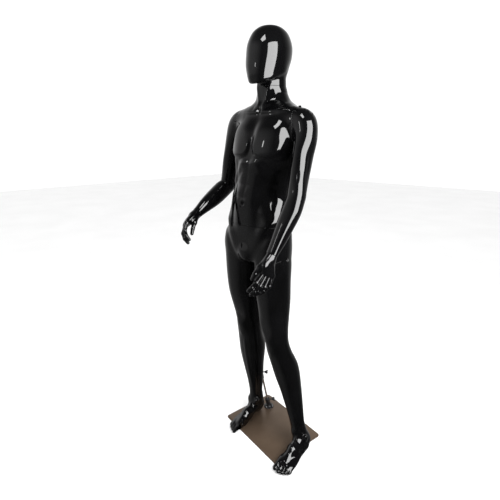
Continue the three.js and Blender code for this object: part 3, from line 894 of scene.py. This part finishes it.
def rim(bm, at, normal):
    """Rolls the open edge on a cut inwards. Returns the outline of the opening inside it."""
    loop = [e for e in bm.edges if e.is_boundary
            and all(abs((v.co - at).dot(normal)) < 0.05 for v in e.verts)]
    inward = {}
    for edge in loop:
        face = edge.link_faces[0]
        for vert in edge.verts:
            outward = face.normal - normal * face.normal.dot(normal)
            inward[vert] = inward.get(vert, Vector()) - outward
    inward = {v: way.normalized() for v, way in inward.items()}
    place = {v: v.co.copy() for v in inward}
    outline = [place[v] + inward[v] * (WALL + 0.35) for v in ordered(loop)]
    skin_normal = bm.verts.layers.float_vector["skin_normal"]
    ring, owner = loop, {v: v for v in inward}
    for inset, back in RIM:
        made = bmesh.ops.extrude_edge_only(bm, edges=ring)["geom"]
        fresh = {}
        for vert in made:
            if isinstance(vert, bmesh.types.BMVert):
                near = [e.other_vert(vert) for e in vert.link_edges]
                fresh[vert] = next(owner[v] for v in near if v in owner)
        for vert, first in fresh.items():
            vert.co = place[first] + inward[first] * inset + normal * back
            vert[skin_normal] = (0, 0, 0)
        owner = fresh
        ring = [e for e in made if isinstance(e, bmesh.types.BMEdge)
                and e.verts[0] in fresh and e.verts[1] in fresh]
    return outline


def to_object(name, bm, material, body, nodes):
    """Makes a finished piece, in metres, that rides on a body and stands for CAD nodes."""
    mesh = bpy.data.meshes.new(name)
    for vert in bm.verts:
        vert.co *= MM
    bm.normal_update()
    bm.to_mesh(mesh)
    mesh.polygons.foreach_set("use_smooth", [True] * len(mesh.polygons))
    skin_normal = bm.verts.layers.float_vector.get("skin_normal")
    if skin_normal is None:
        mesh.set_sharp_from_angle(angle=math.radians(32))
    else:
        mesh.normals_split_custom_set_from_vertices(
            [v[skin_normal] if v[skin_normal].length > 0.5 else v.normal for v in bm.verts])
    bm.free()
    mesh.materials.append(material)
    obj = bpy.data.objects.new(name, mesh)
    bpy.context.scene.collection.objects.link(obj)
    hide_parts(*nodes)
    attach(obj, body)
    return obj


ANYWHERE = ((-1e4, -1e4, -1e4), (1e4, 1e4, 1e4))
SHOULDER_AREA = ((-1e4, -1e4, 1362), (1e4, 1e4, 1e4))
FINE_BELOW = 76                              # feet are meshed twice as finely, up to this height
THIGH_AREA = ((-96.5, -1e4, 780), (1e4, 1e4, 960))
LOOPS = {}                                   # outline of each opening, by seam name and side


def shell(name, field, low, high, step, body, node, cuts, fine_below=None, holes=()):
    """A shell of the figure, cut and rimmed at its seams."""
    bm = skin(field, low, high, step, fine_below)
    for hole in holes:
        pierce(bm, *hole)
    made = [(seam, keep, cut(bm, SEAMS[seam], keep, area, step)) for seam, keep, area in cuts]
    bm.normal_update()
    points = np.array([v.co[:] for v in bm.verts])
    skin_normal = bm.verts.layers.float_vector.new("skin_normal")
    for vert, normal in zip(bm.verts, unit(slope(field, points)[1])):
        vert[skin_normal] = normal
    for seam, keep, (at, normal) in made:
        LOOPS[seam, keep] = rim(bm, at, normal)
    to_object(name, bm, GLOSS_BLACK, body, [node])


# ---- turned and plated parts ----

def skin_rings(bm, rings, ends=(True, True), wrap=False):
    """Joins rings of points with quads, with a flat face at each end that asks for one."""
    made = [[bm.verts.new(p) for p in ring] for ring in rings]
    pairs = list(zip(made[:-1], made[1:])) + ([(made[-1], made[0])] if wrap else [])
    for lower, upper in pairs:
        for n in range(len(lower)):
            m = (n + 1) % len(lower)
            bm.faces.new([lower[n], lower[m], upper[m], upper[n]])
    if ends[0] and not wrap:
        bm.faces.new(made[0][::-1])
    if ends[1] and not wrap:
        bm.faces.new(made[-1])


def axes_of(along):
    along = unit(along)
    hint = (0, 0, 1) if abs(along[2]) < 0.9 else (1, 0, 0)
    e1 = unit(np.cross(hint, along))
    return e1, np.cross(along, e1), along


def circle(at, along, radius, height, sides):
    e1, e2, along = axes_of(along)
    angle = np.linspace(0, 2 * np.pi, sides, endpoint=False)[:, None]
    return np.asarray(at) + height * along + radius * (np.cos(angle) * e1 + np.sin(angle) * e2)


def turn(bm, at, along, profile, sides=72):
    """A turned body: radius and height pairs from the bottom to the top."""
    skin_rings(bm, [circle(at, along, radius, height, sides) for radius, height in profile])


PLATE_SIDES = 96


def fitting_plate(seam_name, keep, peg, body):
    """The steel plate set in a shell's opening. It has a locating peg, or the hole for one."""
    seam = SEAMS[seam_name]
    radius, length = seam.peg
    e1, e2, along = axes_of(seam.along * keep)
    loop = np.array(LOOPS[seam_name, keep]) - seam.at
    turned_by = np.arctan2(loop @ e2, loop @ e1)
    reach = np.hypot(loop @ e1, loop @ e2)
    angle = np.linspace(0, 2 * np.pi, PLATE_SIDES, endpoint=False)
    outline = np.interp(angle, turned_by[np.argsort(turned_by)], reach[np.argsort(turned_by)],
                        period=2 * np.pi)

    def ring(size, height):
        return (seam.at + height * along
                + (size * np.cos(angle))[:, None] * e1 + (size * np.sin(angle))[:, None] * e2)

    face, low, edge = PLATE_SUNK, PLATE_SUNK + PLATE_THICK, 0.4
    sides = [ring(outline - edge, low), ring(outline, low - edge), ring(outline, face + edge),
             ring(outline - edge, face)]
    full = np.full(PLATE_SIDES, float(radius))
    bm = bmesh.new()
    if peg:
        post = [ring(full + 2, face), ring(full + 0.5, face - 0.6), ring(full, face - 1.4),
                ring(full, 1.5 - length), ring(full - 1.5, -length)]
        skin_rings(bm, sides + post)
    else:
        hole = full + 0.35
        skin_rings(bm, sides + [ring(hole + edge, face), ring(hole, face + edge), ring(hole, low)],
                   wrap=True)
    bmesh.ops.recalc_face_normals(bm, faces=bm.faces[:])
    node = f"{seam_name}_{'peg' if peg else 'socket'}_plate"
    to_object(f"{node}_fitted", bm, FITTING_STEEL, body, [node])


PLATE_THICK = 4.6


# ---- materials ----

class Surface:
    """A principled material with object-space noise at hand."""

    def __init__(self, name, **sockets):
        self.material = bpy.data.materials.new(name)
        self.material.use_nodes = True
        self.tree = self.material.node_tree
        self.shader = next(n for n in self.tree.nodes if n.type == "BSDF_PRINCIPLED")
        self.place = self.tree.nodes.new("ShaderNodeTexCoord").outputs["Object"]
        for socket, value in sockets.items():
            self.shader.inputs[socket.replace("_", " ")].default_value = value

    def link(self, a, b):
        self.tree.links.new(a, b)

    def noise(self, scale, detail=3.0, stretch=None):
        node = self.tree.nodes.new("ShaderNodeTexNoise")
        node.inputs["Scale"].default_value = scale
        node.inputs["Detail"].default_value = detail
        source = self.place
        if stretch:
            mapping = self.tree.nodes.new("ShaderNodeMapping")
            mapping.inputs["Scale"].default_value = stretch
            self.link(source, mapping.inputs["Vector"])
            source = mapping.outputs["Vector"]
        self.link(source, node.inputs["Vector"])
        return node.outputs["Fac"]

    def ramp(self, value, low, high, start=0.35, end=0.65):
        """A value spread between two colours."""
        node = self.tree.nodes.new("ShaderNodeValToRGB")
        ends = node.color_ramp.elements
        ends[0].position, ends[1].position = start, end
        ends[0].color, ends[1].color = (*low, 1), (*high, 1)
        self.link(value, node.inputs["Fac"])
        return node.outputs["Color"]

    def spread(self, value, low, high, start=0.3, end=0.7):
        """A value spread between two numbers."""
        node = self.tree.nodes.new("ShaderNodeMapRange")
        for socket, number in zip(("From Min", "From Max", "To Min", "To Max"),
                                  (start, end, low, high)):
            node.inputs[socket].default_value = number
        self.link(value, node.inputs["Value"])
        return node.outputs["Result"]

    def colour(self, value, low, high):
        self.link(self.ramp(value, low, high), self.shader.inputs["Base Color"])

    def roughness(self, value, low, high):
        self.link(self.spread(value, low, high), self.shader.inputs["Roughness"])

    def bump(self, value, strength, distance):
        node = self.tree.nodes.new("ShaderNodeBump")
        node.inputs["Strength"].default_value = strength
        node.inputs["Distance"].default_value = distance
        self.link(value, node.inputs["Height"])
        self.link(node.outputs["Normal"], self.shader.inputs["Normal"])


def gloss_black():
    surface = Surface("gloss_black", IOR=1.5)
    surface.colour(surface.noise(9), (0.0008, 0.0008, 0.0009), (0.0018, 0.0018, 0.002))
    surface.roughness(surface.noise(14, 5), 0.035, 0.075)
    surface.bump(surface.noise(120, 2), 0.05, 0.0004)
    return surface.material


def bronze():
    surface = Surface("base_bronze", Metallic=0.55)
    surface.colour(surface.noise(6, 6), (0.105, 0.072, 0.048), (0.135, 0.094, 0.064))
    surface.roughness(surface.noise(900, 2), 0.34, 0.44)
    surface.bump(surface.noise(1400, 2), 0.12, 0.0002)
    return surface.material


def steel():
    surface = Surface("fitting_steel", Metallic=1.0)
    surface.colour(surface.noise(60, 4), (0.33, 0.33, 0.34), (0.45, 0.45, 0.46))
    surface.roughness(surface.noise(300, 3, (1, 1, 14)), 0.22, 0.38)
    surface.bump(surface.noise(500, 2, (1, 1, 12)), 0.1, 0.0001)
    return surface.material


def chrome():
    surface = Surface("rod_chrome", Metallic=1.0)
    surface.colour(surface.noise(30), (0.62, 0.62, 0.64), (0.72, 0.72, 0.74))
    surface.roughness(surface.noise(250, 4, (1, 1, 0.1)), 0.08, 0.16)
    return surface.material


def black_plastic():
    surface = Surface("fitting_black", IOR=1.48)
    surface.colour(surface.noise(40), (0.008, 0.008, 0.009), (0.014, 0.014, 0.015))
    surface.roughness(surface.noise(400, 3), 0.26, 0.38)
    surface.bump(surface.noise(900, 2), 0.1, 0.0001)
    return surface.material


GLOSS_BLACK, BRONZE, FITTING_STEEL = gloss_black(), bronze(), steel()
CHROME, BLACK_PLASTIC = chrome(), black_plastic()


# ---- base, rod and hand screws ----

PLATE = {"width": 395, "depth": 292, "thick": 6, "corner": 12, "turn": -10}
FLANGE = (-105, 102, 6.35)
ROD_ALONG = unit(JOINTS["figure_lift"]["axis"])
ROD_FROM, ROD_LENGTH = 10.35, 318
SLEEVE_FROM, SLEEVE_TO = 190, 333
CALF_HOLE = {"below_sleeve": 30, "radius": 7.4, "reach": 150}


def on_rod(distance):
    return np.array(FLANGE) + ROD_ALONG * distance


def plate_outline(inset, height):
    half = np.array([PLATE["width"], PLATE["depth"]]) / 2
    corner = PLATE["corner"]
    points = []
    for quarter, (sx, sy) in enumerate(((1, 1), (-1, 1), (-1, -1), (1, -1))):
        for angle in np.linspace(quarter, quarter + 1, 11) * np.pi / 2:
            x = sx * (half[0] - corner) + (corner - inset) * math.cos(angle)
            y = sy * (half[1] - corner) + (corner - inset) * math.sin(angle)
            points.append((x, y))
    turned_by = math.radians(PLATE["turn"])
    c, s = math.cos(turned_by), math.sin(turned_by)
    return np.array([(x * c - y * s, x * s + y * c, height) for x, y in points])


def base():
    bm = bmesh.new()
    top = PLATE["thick"]
    skin_rings(bm, [plate_outline(inset, height) for inset, height in (
        (0.7, 0), (0.2, 0.2), (0, 0.7), (0, top - 0.9), (0.25, top - 0.3), (0.9, top))])
    to_object("base_plate_steel", bm, BRONZE, "base", ["base_plate"])

    bm = bmesh.new()
    turn(bm, FLANGE, (0, 0, 1), [(25.2, 0), (26, 0.6), (26, 2.2), (25.2, 3), (23, 3.6), (19.5, 4.6),
                                 (16.5, 6.2), (14.2, 8.6), (12.8, 11.5), (12, 14.5), (11.6, 17)])
    turn(bm, on_rod(8), ROD_ALONG, [(11, 0), (11, 25.5), (11.6, 27.2), (12.6, 28), (13, 28.8),
                                    (13, 42.8), (12.4, 43.7), (11.2, 44), (5.8, 44), (5.35, 43.4),
                                    (5.35, 30)])
    to_object("base_flange_bell", bm, BLACK_PLASTIC, "base", ["base_flange"])

    for number in range(3):
        angle = 2 * math.pi * number / 3 + 0.5
        at = (FLANGE[0] + 20 * math.cos(angle), FLANGE[1] + 20 * math.sin(angle), 1.5)
        bm = bmesh.new()
        turn(bm, at, (0, 0, 1), [(3, 0), (3, 8.6), (3.9, 8.8), (3.9, 9.8), (3.4, 10.6), (2.2, 11.2),
                                 (1.5, 11.2), (1.2, 10.2)], 40)
        to_object(f"flange_screw_{number + 1}_pan", bm, FITTING_STEEL, "base",
                  [f"flange_screw_{number + 1}"])

    bm = bmesh.new()
    start, end = ROD_FROM, ROD_FROM + ROD_LENGTH
    turn(bm, on_rod(0), ROD_ALONG, [(4.4, start), (5, start + 0.6), (5, end - 0.8), (4.2, end)])
    to_object("support_rod_chrome", bm, CHROME, "rod", ["support_rod"])

    bm = bmesh.new()
    low, high = SLEEVE_FROM, SLEEVE_TO
    turn(bm, on_rod(0), ROD_ALONG, [(5.35, low + 8), (5.35, low + 0.6), (5.9, low), (8.5, low),
                                    (9, low + 0.6), (9, high - 1), (8, high)])
    to_object("calf_sleeve_tube", bm, FITTING_STEEL, "lower_figure", ["calf_sleeve"])


def wing_field(at, along, start):
    """The moulded head of a hand screw: a hub and two rounded wings."""
    e1, e2, along = axes_of(along)
    basis = np.stack([e1, e2, along], 1)

    def field(p):
        q = (p - at) @ basis
        q[:, 2] -= start
        shape = bone(q, (0, 0, 23), (0, 0, 29.5), 6.2, 5.2)
        for way in (-1, 1):
            web = ball(q, (way * 7, 0, 28), (7.5, 2.4, 5.4))
            lobe = ball(q, (way * 10.5, 0, 30.5), (5, 2.0, 6.4), (way * 0.35, 0, 1))
            shape = soft_min(shape, soft_min(web, lobe, 3), 2.5)
        return shape
    return field


FLANGE_SHANK, CALF_SHANK = 24, 17
SCREW_FROM = 6.2                             # the shank starts this far from the rod's middle
WING_MIDDLE, WING_REACH = 33, 24             # box round the wings of the longer screw
THREAD = {"from": 7, "radius": 3, "deep": 0.3, "step": 0.5, "rings": 40}


def hand_screw(name, joint, body, node, length):
    """A hand screw with a threaded shank; a shorter shank brings the wings nearer."""
    at = np.array(JOINTS[joint]["pos_m"]) / MM
    along = unit(JOINTS[joint]["axis"])
    nearer = FLANGE_SHANK - length
    field = wing_field(at, along, SCREW_FROM - nearer)
    middle = at + along * (WING_MIDDLE - nearer)
    bm = skin(field, middle - WING_REACH, middle + WING_REACH, 0.8 * COARSE)
    shank = [(2.2, SCREW_FROM), (THREAD["radius"], THREAD["from"])]
    shank += [(THREAD["radius"] - THREAD["deep"] * (n % 2), THREAD["from"] + THREAD["step"] * n)
              for n in range(1, THREAD["rings"] - 2 * nearer)]
    turn(bm, at, along, shank, 32)
    to_object(name, bm, BLACK_PLASTIC, body, [node])


# ---- the figure ----

def figure():
    hole = (on_rod(SLEEVE_FROM - CALF_HOLE["below_sleeve"]), ROD_ALONG, CALF_HOLE["radius"],
            CALF_HOLE["reach"])
    shell("head", head_field, (-140, -118, 1612), (46, 118, 1858), HEAD_STEP, "head", "head_shell",
          [("neck", 1, ANYWHERE)])
    shell("torso", torso_field, (-262, -156, 1040), (128, 132, 1642), BODY_STEP, "upper_figure",
          "torso_shell", [("neck", -1, ANYWHERE), ("waist", 1, ANYWHERE),
                          ("right_shoulder", -1, SHOULDER_AREA), ("left_shoulder", -1, SHOULDER_AREA)])
    shell("pelvis_right_leg", pelvis_field, (-300, -215, 0), (92, 142, 1076), BODY_STEP,
          "lower_figure", "pelvis_right_leg_shell",
          [("waist", -1, ANYWHERE), ("left_thigh", 1, THIGH_AREA)], FINE_BELOW, [hole])
    shell("left_leg", left_leg_field, (-112, -250, 0), (266, 142, 935), BODY_STEP, "left_leg",
          "left_leg_shell", [("left_thigh", -1, ANYWHERE)], FINE_BELOW)
    for side, limb, low, high in (("right", right_arm, (-394, -190, 1064), (-180, 112, 1576)),
                                  ("left", left_arm, (86, -262, 980), (226, 76, 1576))):
        shell(f"{side}_arm", arm_field(limb, side), low, high, BODY_STEP, f"{side}_arm",
              f"{side}_arm_shell", [(f"{side}_shoulder", 1, SHOULDER_AREA),
                                    (f"{side}_wrist", 1, ANYWHERE)])
    for side, shape, low, high in (("right", right_hand, (-394, -290, 940), (-250, -140, 1130)),
                                   ("left", left_hand, (112, -350, 850), (210, -196, 1036))):
        shell(f"{side}_hand_cast", hand_field(shape, side), low, high, HAND_STEP, f"{side}_hand",
              f"{side}_hand", [(f"{side}_wrist", -1, ANYWHERE)])

    for seam, peg_side, peg_body, socket_body in (
            ("neck", -1, "upper_figure", "head"),
            ("waist", 1, "upper_figure", "lower_figure"),
            ("left_thigh", -1, "left_leg", "lower_figure"),
            ("right_shoulder", 1, "right_arm", "upper_figure"),
            ("left_shoulder", 1, "left_arm", "upper_figure"),
            ("right_wrist", -1, "right_hand", "right_arm"),
            ("left_wrist", -1, "left_hand", "left_arm")):
        fitting_plate(seam, -peg_side, False, socket_body)
        fitting_plate(seam, peg_side, True, peg_body)


# ---- studio ----

AMBIENT = 0.05                               # light that reaches a gloss surface from every side
WORLD_SEEN, WORLD_DIFFUSE = 1.12, 0.93       # brightness of the room as seen, and as floor light
SUN_FROM = (-0.12, -0.67, 0.74)
SUN_SPREAD, SUN_POWER = 24, 0.75
CAMERA = {"at": (1.0098, -1.2646, 1.4120), "turn": (90 - 16.06, 0, 42.6), "lens": 27}


def softbox(name, at, aim, size, power, roll=0):
    light = bpy.data.lights.new(name, "AREA")
    light.shape = "RECTANGLE"
    light.size, light.size_y = size
    light.energy = power
    obj = bpy.data.objects.new(name, light)
    bpy.context.scene.collection.objects.link(obj)
    obj.location = at
    aimed = (Vector(aim) - Vector(at)).to_track_quat("-Z", "Y")
    obj.rotation_euler = (aimed @ Quaternion((0, 0, 1), math.radians(roll))).to_euler()


def add_camera():
    scene = bpy.context.scene
    camera = bpy.data.objects.new("camera", bpy.data.cameras.new("camera"))
    scene.collection.objects.link(camera)
    camera.location = CAMERA["at"]
    camera.rotation_euler = [math.radians(angle) for angle in CAMERA["turn"]]
    camera.data.sensor_width, camera.data.lens = 36, CAMERA["lens"]
    scene.camera = camera


def add_floor():
    bm = bmesh.new()
    bmesh.ops.create_grid(bm, x_segments=1, y_segments=1, size=12)
    mesh = bpy.data.meshes.new("floor")
    bm.to_mesh(mesh)
    bm.free()
    floor = bpy.data.objects.new("floor", mesh)
    bpy.context.scene.collection.objects.link(floor)
    pale = Surface("floor_pale")
    pale.colour(pale.noise(1.5), (0.90, 0.90, 0.90), (0.93, 0.93, 0.93))
    pale.roughness(pale.noise(20), 0.5, 0.6)
    mesh.materials.append(pale.material)
    floor.visible_glossy = False


def add_world():
    """A white room to look at and to light the floor, and dim walls for gloss surfaces."""
    world = bpy.data.worlds.new("studio")
    bpy.context.scene.world = world
    world.use_nodes = True
    tree = world.node_tree
    tree.nodes.clear()
    out = tree.nodes.new("ShaderNodeOutputWorld")
    seen, lit, mix = (tree.nodes.new(kind) for kind in (
        "ShaderNodeBackground", "ShaderNodeBackground", "ShaderNodeMixShader"))
    seen.inputs["Color"].default_value = (1, 1, 1, 1)
    path = tree.nodes.new("ShaderNodeLightPath")
    place = tree.nodes.new("ShaderNodeTexCoord")

    def over(source, from_low, from_high, low, high):
        """A value carried smoothly from one range to another."""
        node = tree.nodes.new("ShaderNodeMapRange")
        node.interpolation_type = "SMOOTHSTEP"
        numbers = zip(("From Min", "From Max", "To Min", "To Max"), (from_low, from_high, low, high))
        for socket, number in numbers:
            node.inputs[socket].default_value = number
        tree.links.new(source, node.inputs["Value"])
        return node.outputs["Result"]

    def maths(operation, a, b):
        node = tree.nodes.new("ShaderNodeMath")
        node.operation = operation
        tree.links.new(a, node.inputs[0])
        tree.links.new(b, node.inputs[1])
        return node.outputs["Value"]

    def toward(way, low, high, bright):
        """A soft patch of light on the walls of the studio, brightest in one direction."""
        node = tree.nodes.new("ShaderNodeVectorMath")
        node.operation = "DOT_PRODUCT"
        node.inputs[1].default_value = way
        tree.links.new(place.outputs["Generated"], node.inputs[0])
        return over(node.outputs["Value"], low, high, 0.0, bright)

    walls = maths("ADD", toward((-0.77, -0.64, 0), 0.2, 1.0, 0.5),
                  toward((-0.66, 0.72, 0), 0.1, 0.95, 0.8))
    split = tree.nodes.new("ShaderNodeSeparateXYZ")
    tree.links.new(place.outputs["Generated"], split.inputs[0])
    height = split.outputs["Z"]
    level = maths("MULTIPLY", over(height, -0.12, 0.06, 0.45, 1.0), over(height, 0.3, 0.85, 1.0, 0.12))
    dim = tree.nodes.new("ShaderNodeValue")
    dim.outputs[0].default_value = AMBIENT
    room = maths("ADD", maths("MULTIPLY", walls, level), dim.outputs[0])
    tree.links.new(room, lit.inputs["Color"])
    strength = over(path.outputs["Is Diffuse Ray"], 0, 1, WORLD_SEEN, WORLD_DIFFUSE)
    tree.links.new(strength, seen.inputs["Strength"])
    tree.links.new(path.outputs["Is Glossy Ray"], mix.inputs["Fac"])
    tree.links.new(seen.outputs[0], mix.inputs[1])
    tree.links.new(lit.outputs[0], mix.inputs[2])
    tree.links.new(mix.outputs[0], out.inputs["Surface"])


def add_sun():
    sun = bpy.data.lights.new("sun", "SUN")
    sun.angle, sun.energy = math.radians(SUN_SPREAD), SUN_POWER
    lamp = bpy.data.objects.new("sun", sun)
    bpy.context.scene.collection.objects.link(lamp)
    lamp.rotation_euler = Vector(SUN_FROM).to_track_quat("Z", "Y").to_euler()
    lamp.visible_glossy = False


def studio():
    bpy.context.scene.view_settings.view_transform = "Standard"
    add_camera()
    add_floor()
    add_world()
    add_sun()
    softbox("window", (1.36, -0.16, 1.76), (-0.05, 0, 1.66), (1.3, 1.5), 76)
    softbox("diamond", (0.33, -0.89, 2.81), (0.07, -0.05, 1.6), (0.5, 0.5), 10, 45)
    softbox("strip", (-0.55, -1.9, 2.05), (-0.05, 0, 1.4), (0.1, 0.35), 1.5)


base()
hand_screw("flange_hand_screw", "flange_screw_turn", "flange_knob", "flange_thumb_screw",
           FLANGE_SHANK)
hand_screw("calf_hand_screw", "calf_screw_turn", "calf_knob", "calf_thumb_screw", CALF_SHANK)
figure()
studio()
